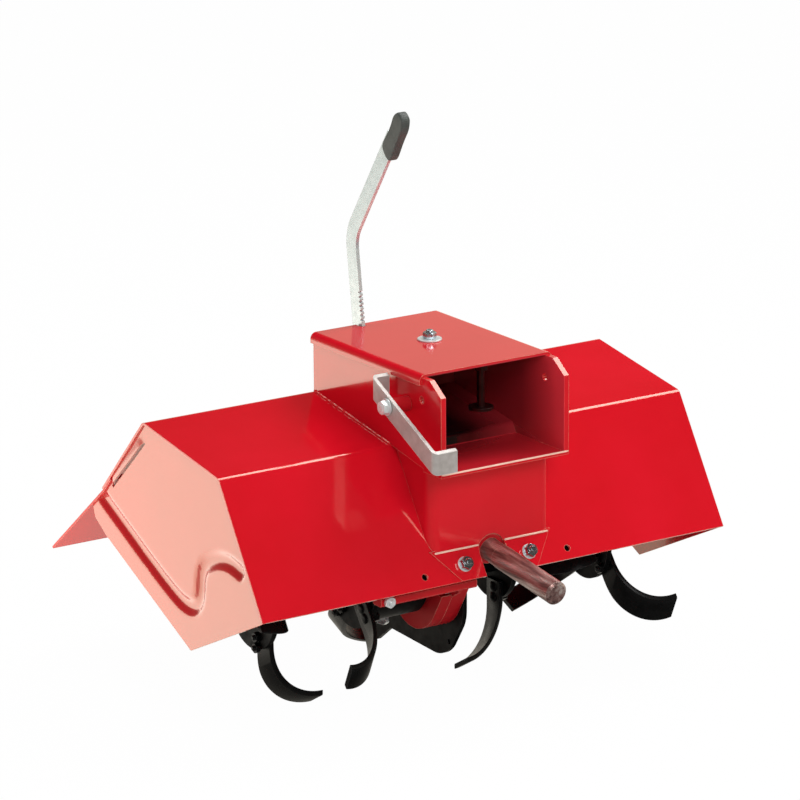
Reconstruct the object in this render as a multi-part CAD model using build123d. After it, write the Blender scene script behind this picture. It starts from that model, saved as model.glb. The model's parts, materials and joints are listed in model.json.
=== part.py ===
"""Rotavator: a rotary tiller attachment for a two-wheel tractor.

Frame: +X along the rotor towards the right end, -Y to the front (coupling mouth and drive
shaft), +Z up.  The floor is z = 0 and the origin is the middle of the footprint.
The hood's front bend line is the datum: profile points are given as (back, up) from it.
All sizes are in millimetres, all angles in degrees.
"""
import os
from math import atan2, cos, degrees, hypot, radians, sin, tan

from build123d import *

os.makedirs("parts", exist_ok=True)

# ---------------------------------------------------------------- driving dimensions
hood_width = 575.0          # over the edges of the hood sheet
hood_t = 2.5                # hood sheet
hood_bend_r = 5.0           # inside radius of the hood's bends
top_len, top_slope = 149.0, 9.6            # top plate, rising to the back
front_len, front_lean = 153.5, 31.4        # front plate, leaning out from the vertical
rear_len, rear_slope = 125.6, 46.8         # rear slope, falling to the back
deflector_len, deflector_slope = 142.0, 39.3
deflector_t = 2.5
deflector_lap = 22.0        # how far the deflector laps under the rear slope
end_inset = 2.0             # end plate set in from the edge of the hood sheet
end_t = 2.5                 # end plate
bead_w, bead_deep, bead_turn_r = 15.0, 4.0, 15.0      # pressed channel of an end plate
bead_start = (3.1, -10.3)    # the channel's rear end, from the end of the rear slope
# (back, up) points of its middle from there round to the front
bead_line = ((98.0, -146.0), (62.0, -154.0), (43.0, -141.0), (42.0, -105.0), (14.0, -88.0), (-12.0, -84.0),
             (-33.0, -89.0))
slit_line, slit_w = ((17.0, 15.6), (108.5, 9.9)), 3.0        # (along, in from) the rear slope
keel_back, keel_down = 64.0, 200.0         # lowest corner of an end plate
# (back, up) of an end plate's rear corners, from the end of the rear slope
rear_corners = ((24.1, -21.3), (18.1, -37.3), (-2.9, -51.3))

box_inner_w = 146.0         # coupling box, inside
box_wall_t = 6.0
box_lid_t = 3.0
lid_lip = 11.0              # folded lip of the lid, down the outside of the walls
lid_front, lid_rear, lid_up = -56.0, 148.0, 87.5
lid_bend_r = 7.0            # outside radius of the lid's folds
bulkhead_back = 110.0       # cross wall inside the box, ahead of the depth bar
mouth_front, floor_up = -90.0, -10.0       # front edge and top of the floor
mouth_low_corner = 70.0     # height of the wall's chamfered front corner
pin_hole, pin_hole_r = (-55.5, 61.0), 4.0  # cross hole through both walls for the coupling pin
floor_t = 4.0

pedestal_front = -63.5      # front face of the pedestal under the box
pedestal_half = 75.0
pedestal_t = 3.0
pedestal_fold_r = 12.0      # outside radius of its upright folds
foot_t = 1.5                # its foot flange on the hood's front plate
pedestal_taper = 28.0       # how far the foot flange narrows on each side

shaft_r = 12.5              # drive shaft
shaft_slope = 8.2           # falls to the front
shaft_tip, shaft_drop = -181.0, 111.0      # front end, and its drop below the datum at the hood
shaft_at = -75.0            # where that drop is measured
shaft_len = 186.0
shaft_free = 100.0          # full-size length that a sleeve can slide over
shaft_seal_r = 12.0         # slightly slimmer where it runs in the case's nose
shaft_inner_r, shaft_neck = 8.0, 146.0     # slimmer inner end, and where it starts from the tip
running_gap = 0.05          # radial clearance of a running fit
nose_r, nose_from = 16.5, 121.0            # input nose of the gear case, from the shaft's tip
nose_len = 39.0
shaft_chamfer = 2.5

rotor_back, rotor_drop = 61.0, 167.0       # rotor axis from the datum
axle_r = 14.0
flange_r, flange_t = 43.0, 6.0
inner_flange_x = 88.0
end_clear = 7.9             # from the outermost blades' legs and reach to the end plates' pressed channels
helix_step = 36.0           # turn between neighbouring flanges
first_phase = 0.0           # a row of blades stands on the floor
tine_t = 5.0
tine_root, tine_leg, tine_bend_r = 19.0, 43.7, 55.0
tine_bend = 88.0            # angle of the blade's bend
tine_twist = 30.0           # how far the bend's axis leans back, which turns the blade's face forward
tine_flats = 12             # press marks that make up the bend
tine_root_edges = (-0.5, 24.5)             # edges of the leg, ahead of the radius
tine_tip_edges = (14.0, 38.0)              # the same at the tip
hub_r = 38.0                # drum on the axle, left of the gear case

case_x0, case_x1 = -14.0, 18.0             # outsides of the gear case's two halves
rim_t, rim_lap = 4.0, 7.0   # seam rim between them
case_low = (60.0, -180.0)
case_low_r, case_high_r = 44.5, 40.0
case_high_back, case_high_drop = 4.0, 98.0
case_neck_w = 74.0
neck_line = ((-30.0, -98.0), (-30.0, -57.0), (6.0, 1.0))    # front of the case's neck
skid_t = 5.0
# front and lower edge of the skid, (back, up), to where it runs down to its heel
skid_curve = ((13.0, -128.0), (14.0, -212.0), (46.0, -261.0), (152.0, -256.0))
skid_curve_r = 40.0
skid_heel, skid_heel_up = (178.0, 208.0), 13.0
skid_top = ((150.0, -222.0), (116.0, -190.0), (108.0, -128.0))
skid_hole, skid_hole_r = (40.0, -241.0), 3.0
skid_bolt = (28.0, -146.0)
lug_back, lug_drop, lug_r = 9.0, 168.0, 11.0

latch_off = 25.0            # stand-off of the latch bar from the wall
latch_t, latch_w = 4.0, 20.0
latch_rear, latch_rear_up = 0.0, 67.0
latch_front, latch_front_up = -110.0, 12.0
latch_pivot = -30.0
latch_hook_x = -75.5        # inner end of the hooked front tab
pivot_r = 5.0

lever_x = -21.5             # middle of the depth bar
lever_t, lever_w = 4.0, 18.0
lever_foot = (106.0, -232.0)               # (back, up) points of the depth bar's middle line
lever_knee = (160.0, 182.0)
lever_top = (80.0, 302.0)
lever_knee_r = 40.0
notch_pitch, notch_depth, notch_count = 4.8, 2.4, 7
notch_start_up = 94.0
lever_spur = 46.0           # run of the bevel at the bar's foot
grip_t = 13.0
# (back, up) outline of the grip, from the low tip up the rear and over the top
grip_line = ((81.0, 272.0), (98.0, 290.0), (81.0, 313.0), (74.0, 332.5), (57.0, 331.0), (55.0, 315.0),
             (68.0, 296.0))
grip_corner_r = 5.0
guide_gap = 0.4
guide_rear, guide_front, guide_low, guide_high = 160.0, 118.0, -14.0, 30.0

stud_back, stud_r, stud_head_r, stud_head_t = -46.0, 4.0, 13.0, 3.0
stud_low_up = 37.0
lid_bolt_at, washer_r, washer_t = (4.0, 53.0), 13.0, 2.0

flange_bolts = ((-39.0, -116.7), (40.7, -117.3))            # (x, up) on the hood's front plate
hood_holes, hood_hole_r = ((-88.5, -120.5), (89.0, -121.0)), 3.5
bolt_r, nut_across, nut_h = 4.0, 13.0, 6.5


# ---------------------------------------------------------------- places worked out from them
def step(start, length, angle):
    """The point reached from start along a slope of the given angle (positive is up)."""
    return (start[0] + length * cos(radians(angle)), start[1] + length * sin(radians(angle)))


def mitre(points, distance):
    """The open line through the points, moved to its right by a distance, corners mitred."""
    normals = []
    for (y0, z0), (y1, z1) in zip(points, points[1:]):
        run = hypot(y1 - y0, z1 - z0)
        normals.append(((z1 - z0) / run, (y0 - y1) / run))
    moved = []
    for i, (y, z) in enumerate(points):
        a = normals[max(i - 1, 0)]
        b = normals[min(i, len(normals) - 1)]
        k = distance / (1 + a[0] * b[0] + a[1] * b[1])
        moved.append((y + (a[0] + b[0]) * k, z + (a[1] + b[1]) * k))
    return moved


BEND = (0.0, 0.0)
TOP_REAR = step(BEND, top_len, top_slope)
FRONT_LOW = step(BEND, front_len, 270 - front_lean)
SLOPE_END = step(TOP_REAR, rear_len, -rear_slope)
FLAP_END = step(SLOPE_END, deflector_len, -deflector_slope)
ROTOR = (rotor_back, -rotor_drop)


def beside_slope(along, inward):
    """A point inside the rear slope: along it from its top, and in from its outer face."""
    return step(step(TOP_REAR, along, -rear_slope), inward, 270 - rear_slope)


def from_slope_end(back, up):
    return (SLOPE_END[0] + back, SLOPE_END[1] + up)


half = hood_width / 2
tine_reach = tine_bend_r * (1 - cos(radians(tine_bend)))
outer_flange_x = half - end_inset - end_t - bead_deep - end_clear - tine_reach - tine_t - flange_t / 2
flange_xs = (-outer_flange_x, -inner_flange_x, inner_flange_x, outer_flange_x)
axle_half = outer_flange_x + flange_t / 2 + 1.0


def tine_blade():
    """A blade with its leg up local +Y, bent over to local +X; local +Z is ahead of the leg."""
    twist = radians(tine_twist)
    bend_plane = Plane(origin=(0, 0, 0), x_dir=(1, 0, 0), z_dir=(0, -sin(twist), cos(twist)))
    flat = radians(tine_bend) / tine_flats
    line = [(0.0, -40.0)]
    for i in range(tine_flats + 1):
        line.append((tine_bend_r * (1 - cos(i * flat)), tine_leg + tine_bend_r * sin(i * flat)))
    outside, inside = mitre(line, -tine_t / 2), mitre(line, tine_t / 2)
    ribbon = extrude(bend_plane * make_face(Polyline(*outside, *inside[::-1], close=True)), amount=90, both=True)
    low, high = tine_tip_edges
    root_low, root_high = tine_root_edges
    plan = [(-tine_t, root_low), (0.0, root_low), (tine_reach, low), (tine_reach + tine_t, low),
            (tine_reach + tine_t, high), (tine_reach, high), (0.0, root_high), (-tine_t, root_high)]
    plan_face = Plane.XZ * make_face(Polyline(*plan, close=True))
    return ribbon & Pos(0, tine_root, 0) * extrude(plan_face, amount=400, dir=(0, 1, 0))


blade = tine_blade()
axle_height = blade.bounding_box().max.Y   # the row of blades stands on its trailing corners

bend_z = rotor_drop + axle_height
# the deflector's front edge laps under the rear slope
LAP = mitre([step(SLOPE_END, deflector_lap, 180 - rear_slope), SLOPE_END, FLAP_END], hood_t)
front_reach = shaft_tip - (shaft_r - shaft_chamfer) * sin(radians(shaft_slope))
bend_y = -(LAP[-1][0] + front_reach) / 2

box_half = box_inner_w / 2
box_outer = box_half + box_wall_t
latch_x = -(box_outer + latch_off)
shaft_tan = tan(radians(shaft_slope))


def shaft_up(back):
    """Height of the shaft's axis at a place along the machine."""
    return -shaft_drop + (back - shaft_at) * shaft_tan


def front_back(up):
    """Where the front plate's outer face lies at a height."""
    return up * tan(radians(front_lean))


def top_up(back):
    """Height of the top plate's outer face at a place along the machine."""
    return back * tan(radians(top_slope))


def latch_up(back):
    """Height of the latch strap's middle line at a place along the machine."""
    return latch_front_up + (back - latch_front) * (latch_rear_up - latch_front_up) / (latch_rear - latch_front)


# ---------------------------------------------------------------- helpers
def at(back, up):
    """A datum point as a local point of the YZ plane."""
    return (bend_y + back, bend_z + up)


def pts(*points):
    return [at(*p) for p in points]


def plate(face, x0, x1):
    """A face of the YZ plane, extruded from x0 to x1."""
    return Pos(x0, 0, 0) * extrude(face, amount=x1 - x0, dir=(1, 0, 0))


def outline(*points):
    """A closed face of the YZ plane from datum points."""
    return Plane.YZ * make_face(Polyline(*pts(*points), close=True))


def disc(centre, radius):
    return Plane.YZ * Pos(*at(*centre)) * Circle(radius)


def bent_line(points, radius):
    return FilletPolyline(*points, radius=radius) if len(points) > 2 else Line(*points)


def band(points, thick, outer_r, inner_r):
    """A flat face of even width to the right of an open line, with rounded bends."""
    one = bent_line(points, outer_r)
    two = bent_line(mitre(points, thick), inner_r)
    ends = [Line(one @ 0, two @ 0), Line(one @ 1, two @ 1)]
    return make_face(Curve() + [one, two] + ends)


def sheet(points, thick, bend_r):
    """The YZ section of a bent sheet whose outer line is given in the datum frame."""
    return Plane.YZ * band(pts(*points), thick, bend_r + thick, bend_r)


def rod_x(centre, radius, x0, x1):
    """A round bar along X."""
    return plate(disc(centre, radius), x0, x1)


def block(x0, x1, back0, back1, up0, up1):
    """A box between two corners in the datum frame."""
    size = (x1 - x0, back1 - back0, up1 - up0)
    mid = ((x0 + x1) / 2, bend_y + (back0 + back1) / 2, bend_z + (up0 + up1) / 2)
    return Pos(*mid) * Box(*size)


parts = {}


def save(name, shape):
    """Keep the piece's one solid, without slivers a cut has left, and write it out."""
    whole = max(shape.solids(), key=lambda s: s.volume)
    parts[name] = whole
    export_step(whole, f"parts/{name}.step")


# ---------------------------------------------------------------- hood
HOOD_LINE = [FRONT_LOW, BEND, TOP_REAR, SLOPE_END]
INNER = mitre(HOOD_LINE, hood_t)

shaft_dir = Vector(0, -cos(radians(shaft_slope)), -sin(radians(shaft_slope)))
SHAFT_TIP = Vector(0, bend_y + shaft_tip, bend_z + shaft_up(shaft_tip))


def along_shaft(distance, reach, radius):
    """A round bar on the shaft's axis, from a distance behind its tip."""
    start = SHAFT_TIP - shaft_dir * distance
    return Plane(origin=start, z_dir=-shaft_dir) * Cylinder(radius, reach, align=(Align.CENTER,) * 2 + (Align.MIN,))


notch_half = nose_r + 0.4
shaft_notch = along_shaft(shaft_free - 20.0, 60.0, notch_half)
shaft_notch += block(-notch_half, notch_half, FRONT_LOW[0] - 30.0, FRONT_LOW[0] + 30.0, FRONT_LOW[1] - 20.0,
                     shaft_up(FRONT_LOW[0] + 10.0))

lever_lean = atan2(lever_knee[0] - lever_foot[0], lever_knee[1] - lever_foot[1])


def lever_back(up):
    """Middle of the depth bar's straight part at a height."""
    return lever_foot[0] + (up - lever_foot[1]) * tan(lever_lean)


def lever_prism(up0, up1, grow, x_grow):
    """A slanting block round the straight part of the depth bar."""
    w = (lever_w / 2 + grow) / cos(lever_lean)
    corners = [(lever_back(up0) - w, up0), (lever_back(up0) + w, up0),
               (lever_back(up1) + w, up1), (lever_back(up1) - w, up1)]
    grown = lever_t / 2 + x_grow
    return plate(outline(*corners), lever_x - grown, lever_x + grown)


front_normal = Vector(0, -cos(radians(front_lean)), sin(radians(front_lean)))


def on_front(x, up, out=0.0):
    """A plane on the front plate's outer face, facing out."""
    origin = Vector(x, bend_y + front_back(up), bend_z + up) + front_normal * out
    return Plane(origin=origin, z_dir=front_normal)


def front_rod(x, up, radius, out0, out1):
    """A round bar square to the front plate."""
    return on_front(x, up, out0) * Cylinder(radius, out1 - out0, align=(Align.CENTER,) * 2 + (Align.MIN,))


hood_shell = plate(sheet(HOOD_LINE, hood_t, hood_bend_r), -half, half)
hood_shell -= shaft_notch + lever_prism(-10, 60, 5.0, 5.0)
for x, up in hood_holes:
    hood_shell -= front_rod(x, up, hood_hole_r, -10, 10)
save("hood_shell", hood_shell)

deflector = plate(sheet(LAP, deflector_t, hood_bend_r), -half, half) - hood_shell
save("rear_deflector", deflector)

# end plates with their pressed channel
KEEL = (keel_back - 1.0, -keel_down + 1.0)
inside = mitre(HOOD_LINE, 1.2)
end_line = inside + [from_slope_end(*p) for p in rear_corners] + [KEEL]
bead_points = [from_slope_end(*bead_start), *bead_line]
slit_points = [beside_slope(*p) for p in slit_line]


def centred(points, width, radius):
    """A band of the given width on both sides of a line, with blunt round ends."""
    line = bent_line(pts(*points), radius)
    face = trace(line, line_width=width)
    caps = [Pos(*p) * RegularPolygon(width / 2, 12) for p in (line @ 0, line @ 1)]
    return Plane.YZ * (Sketch() + [face] + caps)


for name, side in (("end_plate_left", -1), ("end_plate_right", 1)):
    x_out = side * (half - end_inset)
    x_in = x_out - side * end_t
    x_groove = x_out - side * bead_deep
    x_ridge = x_in - side * bead_deep
    body = plate(outline(*end_line), min(x_out, x_in), max(x_out, x_in))
    ridge = centred(bead_points, bead_w + 2 * end_t, bead_turn_r)
    body += plate(ridge, min(x_in, x_ridge), max(x_in, x_ridge))
    body -= plate(centred(bead_points, bead_w, bead_turn_r), min(x_out, x_groove), max(x_out, x_groove))
    body -= plate(centred(slit_points, slit_w, 1.0), min(x_out, x_in), max(x_out, x_in))
    body -= hood_shell + deflector
    save(name, body)

# ---------------------------------------------------------------- coupling box
wall_top = lid_up - box_lid_t
FRONT_FOOT = (front_back(floor_up - floor_t), floor_up - floor_t)
wall_line = [(mouth_front, floor_up - floor_t), (-58.0, floor_up - floor_t), (-58.0, floor_up - 1.0),
             BEND, TOP_REAR, (TOP_REAR[0], wall_top), (-69.5, wall_top),
             (mouth_front, mouth_low_corner)]
floor_line = [(mouth_front, floor_up), (mouth_front, floor_up - floor_t), FRONT_FOOT,
              (front_back(floor_up), floor_up)]
channel = plate(outline(*floor_line), -box_half, box_half)
for side in (-1, 1):
    ends = sorted((side * box_half, side * box_outer))
    channel += plate(outline(*wall_line), *ends)
channel -= rod_x(pin_hole, pin_hole_r, -box_outer, box_outer)
channel -= rod_x((latch_pivot, latch_up(latch_pivot)), pivot_r, -box_outer, -box_half)
channel -= hood_shell

bulkhead = outline((bulkhead_back, top_up(bulkhead_back)), (bulkhead_back + 3.0, top_up(bulkhead_back + 3.0)),
                   (bulkhead_back + 3.0, wall_top), (bulkhead_back, wall_top))
save("coupling_bulkhead", plate(bulkhead, -box_half, box_half))

lid_half = box_outer + box_lid_t
lid_corner = [(-lid_half, bend_z + lid_up - lid_lip), (-lid_half, bend_z + lid_up),
              (lid_half, bend_z + lid_up), (lid_half, bend_z + lid_up - lid_lip)]
lid_face = Plane.XZ * band(lid_corner, box_lid_t, lid_bend_r, lid_bend_r - box_lid_t)
lid = Pos(0, bend_y + lid_front, 0) * extrude(lid_face, amount=lid_rear - lid_front, dir=(0, 1, 0))
lid -= lever_prism(lid_up - 20, lid_up + 20, 1.0, 1.5)
lid -= block(lever_x - lever_t / 2 - 1.5, lever_x + lever_t / 2 + 1.5, lever_back(lid_up), lid_rear + 5,
             lid_up - 20, lid_up + 20)
save("coupling_lid", lid)
channel -= lid
save("coupling_channel", channel)

# pedestal: a front and sides folded from one sheet, and a foot flange on the front plate
ped_low = pedestal_front / tan(radians(front_lean))
ped_top = floor_up - floor_t
wall_step = (-58.0, floor_up - 1.0)        # where the box's walls come down to the hood
ped_side = [(pedestal_front, ped_top), (pedestal_front, ped_low), BEND, wall_step, (wall_step[0], ped_top)]
fold = [(-pedestal_half, bend_y), (-pedestal_half, bend_y + pedestal_front),
        (pedestal_half, bend_y + pedestal_front), (pedestal_half, bend_y)]
fold_face = band(fold[::-1], pedestal_t, pedestal_fold_r, pedestal_fold_r - pedestal_t)
pedestal = Pos(0, 0, bend_z + ped_low) * extrude(fold_face, amount=-ped_low)
pedestal &= plate(outline(*ped_side), -pedestal_half, pedestal_half)
flange_rise = ped_low + 4.0
foot = [(-pedestal_half, flange_rise), (pedestal_half, flange_rise),
        (pedestal_half - pedestal_taper, FRONT_LOW[1]), (-pedestal_half + pedestal_taper, FRONT_LOW[1])]
foot_plane = on_front(0, 0)
foot_face = make_face(Polyline(*[(x, up / cos(radians(front_lean))) for x, up in foot], close=True))
foot_frame = Plane(origin=foot_plane.origin, x_dir=(1, 0, 0), z_dir=front_normal)
pedestal += foot_frame * extrude(foot_face, amount=foot_t)
pedestal -= shaft_notch
pedestal -= hood_shell
pedestal -= channel
save("pedestal", pedestal)


def hex_prism(across, height):
    return extrude(RegularPolygon(across / 2, 6, major_radius=False), amount=height)


def nut_on(plane, tip, washer_radius=8.0, washer_thick=1.5):
    """A washer, a nut and the bolt's tip, standing on a plane."""
    stack = extrude(RegularPolygon(washer_radius, 20), amount=washer_thick)
    stack += Pos(0, 0, washer_thick) * hex_prism(nut_across, nut_h)
    stack += Pos(0, 0, washer_thick + nut_h) * extrude(RegularPolygon(bolt_r, 12), amount=tip)
    return plane * stack


for name, (x, up) in zip(("flange_bolt_left", "flange_bolt_right"), flange_bolts):
    save(name, nut_on(on_front(x, up, foot_t), 3.0))

lid_bolt_plane = Plane(origin=(lid_bolt_at[0], bend_y + lid_bolt_at[1], bend_z + lid_up))
save("lid_bolt", nut_on(lid_bolt_plane, 2.5, washer_r, washer_t))

stud_at = Pos(0, bend_y + stud_back, bend_z + stud_low_up)
stud_len = wall_top - stud_low_up
stud = stud_at * extrude(RegularPolygon(stud_head_r, 20), amount=stud_head_t)
stud += stud_at * extrude(RegularPolygon(stud_r, 12), amount=stud_len)
stud += stud_at * Pos(0, 0, stud_len - 6.0) * hex_prism(nut_across, 6.0)
save("coupling_stud", stud)

# ---------------------------------------------------------------- gear case and drive shaft
HIGH = (case_high_back, -case_high_drop)


def case_face(grow):
    """The gear case's outline, grown all round."""
    low = Pos(*at(*case_low)) * Circle(case_low_r + grow)
    high = Pos(*at(*HIGH)) * Circle(case_high_r + grow)
    return Plane.YZ * make_hull(low.edges() + high.edges())


neck_rear = case_high_back + case_neck_w / 2
neck_face = outline(*neck_line, (neck_rear, neck_rear * tan(radians(top_slope))), (neck_rear, -case_high_drop))
below = (case_low[0] + case_low_r, case_low[1])
interior = plate(outline(*(INNER + [below, (FRONT_LOW[0] + 2 * case_low_r, below[1])])), -half, half)
neck = plate(neck_face, case_x0, case_x1) & interior
nose = along_shaft(nose_from, nose_len, nose_r)
LUG = (lug_back, -lug_drop)
bores = along_shaft(shaft_free, shaft_neck - shaft_free + 0.5, shaft_seal_r + running_gap)
bores += along_shaft(shaft_neck, shaft_len - shaft_neck + 2.0, shaft_inner_r + running_gap)
bores += rod_x(ROTOR, axle_r + running_gap, 2 * case_x0, 2 * case_x1)

# the left half carries the neck and the nose, and the two halves meet at the seam rim
gear_case = plate(case_face(0.0), case_x0, 0.0) + neck + nose
gear_case += plate(case_face(rim_lap), -rim_t / 2, 0.0) & interior
gear_case += rod_x(LUG, lug_r, -rim_t / 2, 0.0)
gear_case -= bores
gear_case -= rod_x(LUG, 9.0, case_x0, -rim_t / 2)
gear_case -= hood_shell

cover = plate(case_face(0.0), 0.0, case_x1) + (plate(case_face(rim_lap), 0.0, rim_t / 2) & interior)
cover += rod_x(LUG, lug_r, 0.0, rim_t / 2)
cover -= bores
cover -= neck
cover -= nose
save("gear_case", gear_case)
save("case_cover", cover - hood_shell)

# the end that a sleeve slides over, the part in the nose, and the slimmer end at the bevel gear
shaft = along_shaft(0, shaft_free, shaft_r)
shaft = chamfer(shaft.faces().sort_by(Axis(SHAFT_TIP, -shaft_dir))[0].edges(), shaft_chamfer)
shaft += along_shaft(shaft_free, shaft_neck - shaft_free, shaft_seal_r)
shaft += along_shaft(shaft_neck, shaft_len - shaft_neck, shaft_inner_r)
save("drive_shaft", shaft)

# skid plate on the right of the case, its rear heel on the floor
floor_at = -bend_z
skid_front = FilletPolyline(*pts(*skid_curve), radius=skid_curve_r)
heel = [skid_curve[-1], (skid_heel[0], floor_at), (skid_heel[1], floor_at),
        (skid_heel[1] + 6.0, floor_at + skid_heel_up)]
skid_back = Polyline(*pts(*heel, *skid_top, skid_curve[0]))
skid = plate(Plane.YZ * make_face(Curve() + [skid_front, skid_back]), case_x1, case_x1 + skid_t)
skid -= rod_x(ROTOR, axle_r + 6.0, case_x1, case_x1 + skid_t)
skid -= rod_x(skid_hole, skid_hole_r, case_x1, case_x1 + skid_t)
save("skid_plate", skid)

lug_plane = Plane(origin=(-rim_t / 2, *at(*LUG)), z_dir=(-1, 0, 0))
save("case_bolt", lug_plane * hex_prism(nut_across, 5.5))
skid_bolt_plane = Plane(origin=(case_x1 + skid_t, *at(*skid_bolt)), z_dir=(1, 0, 0))
save("skid_bolt", skid_bolt_plane * hex_prism(nut_across, 5.5))

# ---------------------------------------------------------------- rotor
axle = rod_x(ROTOR, axle_r, -axle_half, axle_half)
axle += rod_x(ROTOR, hub_r, flange_t / 2 + tine_t - inner_flange_x, case_x0 - 6.0)
for x in flange_xs:
    axle += rod_x(ROTOR, flange_r, x - flange_t / 2, x + flange_t / 2)


# (flange x, phase from straight down towards the front, side its blades a, b, c and d bend to)
tine_table = ((flange_xs[0], first_phase, (1, -1, -1, 1)),
              (flange_xs[1], first_phase + helix_step, (-1, 1, -1, 1)),
              (flange_xs[2], first_phase, (-1, 1, -1, 1)),
              (flange_xs[3], first_phase + helix_step, (1, -1, 1, -1)))
for i, (x, phase, sides) in enumerate(tine_table):
    for k, side in enumerate(sides):
        turn = radians(phase + 90.0 * k)
        lead = (0, -cos(turn), sin(turn))
        tine = Plane(origin=(0, 0, 0), x_dir=(-1, 0, 0), z_dir=lead) * blade
        if side > 0:
            tine = mirror(tine, Plane.YZ)
        y, z = at(*ROTOR)
        tine = Pos(x + side * (flange_t + tine_t) / 2, y, z) * tine
        save(f"tine_{i + 1}{'abcd'[k]}", tine)
save("axle", axle)

# ---------------------------------------------------------------- latch strap
x_outer = latch_x
x_wall = -box_outer - 5.0
plan_line = [(x_wall, bend_y + latch_rear), (x_outer, bend_y + latch_rear),
             (x_outer, bend_y + latch_front - latch_t), (latch_hook_x, bend_y + latch_front - latch_t)]
hoop = extrude(band(plan_line[::-1], latch_t, latch_t + 2.0, 2.0), amount=bend_z + 200)
run = latch_w / 2 / cos(atan2(latch_rear_up - latch_front_up, latch_rear - latch_front))


slant = outline((-140.0, latch_up(-140.0) - run), (30.0, latch_up(30.0) - run),
                (30.0, latch_up(30.0) + run), (-140.0, latch_up(-140.0) + run))
latch = hoop & plate(slant, -130, -40)
pivot = (latch_pivot, latch_up(latch_pivot))
latch -= rod_x(pivot, pivot_r + 0.08, -140, -40)
save("latch_strap", latch)

pivot_bolt = rod_x(pivot, pivot_r, x_outer - 4.0, -box_half)
pivot_bolt += Plane(origin=(x_outer - 0.5, *at(*pivot)), z_dir=(-1, 0, 0)) * hex_prism(nut_across, 8.0)
spacer = Plane(origin=(x_outer + latch_t + 0.5, *at(*pivot)), z_dir=(1, 0, 0))
pivot_bolt += spacer * extrude(RegularPolygon(8.0, 12), amount=latch_off - latch_t - 0.5)
pivot_bolt += Plane(origin=(-box_half, *at(*pivot)), z_dir=(1, 0, 0)) * hex_prism(nut_across, 5.0)
save("latch_pivot", pivot_bolt)

# ---------------------------------------------------------------- depth bar, its guide and grip
half_w = lever_w / 2
bar_line = pts(lever_foot, lever_knee, lever_top)
bar_front = bent_line(mitre(bar_line, -half_w), lever_knee_r - half_w)
bar_rear = bent_line(mitre(bar_line, half_w), lever_knee_r + half_w)
bar_face = make_face(Curve() + [bar_front, bar_rear, Line(bar_front @ 0, bar_rear @ 0),
                                Line(bar_front @ 1, bar_rear @ 1)])
bar = plate(Plane.YZ * bar_face, lever_x - lever_t / 2, lever_x + lever_t / 2)
for k in range(notch_count):
    up = notch_start_up + k * notch_pitch
    back = lever_back(up) - half_w / cos(lever_lean)
    tooth = outline((back - 1.0, up - 1.6), (back - 1.0, up + 1.6), (back + notch_depth, up + 0.4),
                    (back + notch_depth, up - 0.6))
    bar -= plate(tooth, lever_x - 10, lever_x + 10)
spur_low = lever_foot[1] - 5.0
spur = outline((lever_foot[0] - lever_spur, spur_low), (lever_foot[0] + 3.0, spur_low),
               (lever_foot[0] - lever_spur, lever_foot[1] + 0.75 * lever_spur))
bar -= plate(spur, lever_x - 10, lever_x + 10)
save("depth_bar", bar)

grip = make_face(Polyline(*pts(*grip_line), close=True))
grip = Plane.YZ * fillet(grip.vertices(), grip_corner_r)
grip = extrude(grip, amount=grip_t / 2, both=True, dir=(1, 0, 0))
grip = Pos(lever_x, 0, 0) * grip - bar
save("depth_bar_grip", grip)

guide = block(lever_x - 10, lever_x + 10, guide_front, guide_rear, guide_low, guide_high) & interior
guide -= lever_prism(-60, 60, guide_gap, guide_gap)
guide -= hood_shell
save("depth_bar_guide", guide)
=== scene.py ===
"""Rotavator: the visual model on the CAD frame.  Shapes are worked out in millimetres from the
datum, the hood's front bend line, and made in metres."""

import json
from math import cos, hypot, pi, radians, sin, tan

import bmesh
import bpy
from mathutils import Matrix, Vector, noise as mnoise


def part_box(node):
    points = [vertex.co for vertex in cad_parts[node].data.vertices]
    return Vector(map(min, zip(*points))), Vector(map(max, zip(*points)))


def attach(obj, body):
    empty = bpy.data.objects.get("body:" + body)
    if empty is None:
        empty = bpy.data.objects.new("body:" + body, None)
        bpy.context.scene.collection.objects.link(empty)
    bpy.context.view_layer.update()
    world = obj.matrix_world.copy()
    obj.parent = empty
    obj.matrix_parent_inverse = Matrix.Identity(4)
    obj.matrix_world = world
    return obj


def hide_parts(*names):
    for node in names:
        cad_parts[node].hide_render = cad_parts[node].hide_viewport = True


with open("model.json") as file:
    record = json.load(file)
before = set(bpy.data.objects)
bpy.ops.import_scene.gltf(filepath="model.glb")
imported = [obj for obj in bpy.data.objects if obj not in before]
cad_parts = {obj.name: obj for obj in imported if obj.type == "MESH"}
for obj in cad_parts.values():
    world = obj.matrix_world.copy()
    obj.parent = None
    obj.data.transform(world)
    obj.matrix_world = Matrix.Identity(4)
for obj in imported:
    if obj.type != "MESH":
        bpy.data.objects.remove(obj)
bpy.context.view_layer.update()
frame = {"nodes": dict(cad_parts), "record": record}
nodes = frame["nodes"]
record = frame["record"]
scene = bpy.context.scene
scene.view_settings.view_transform = "Standard"


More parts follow.
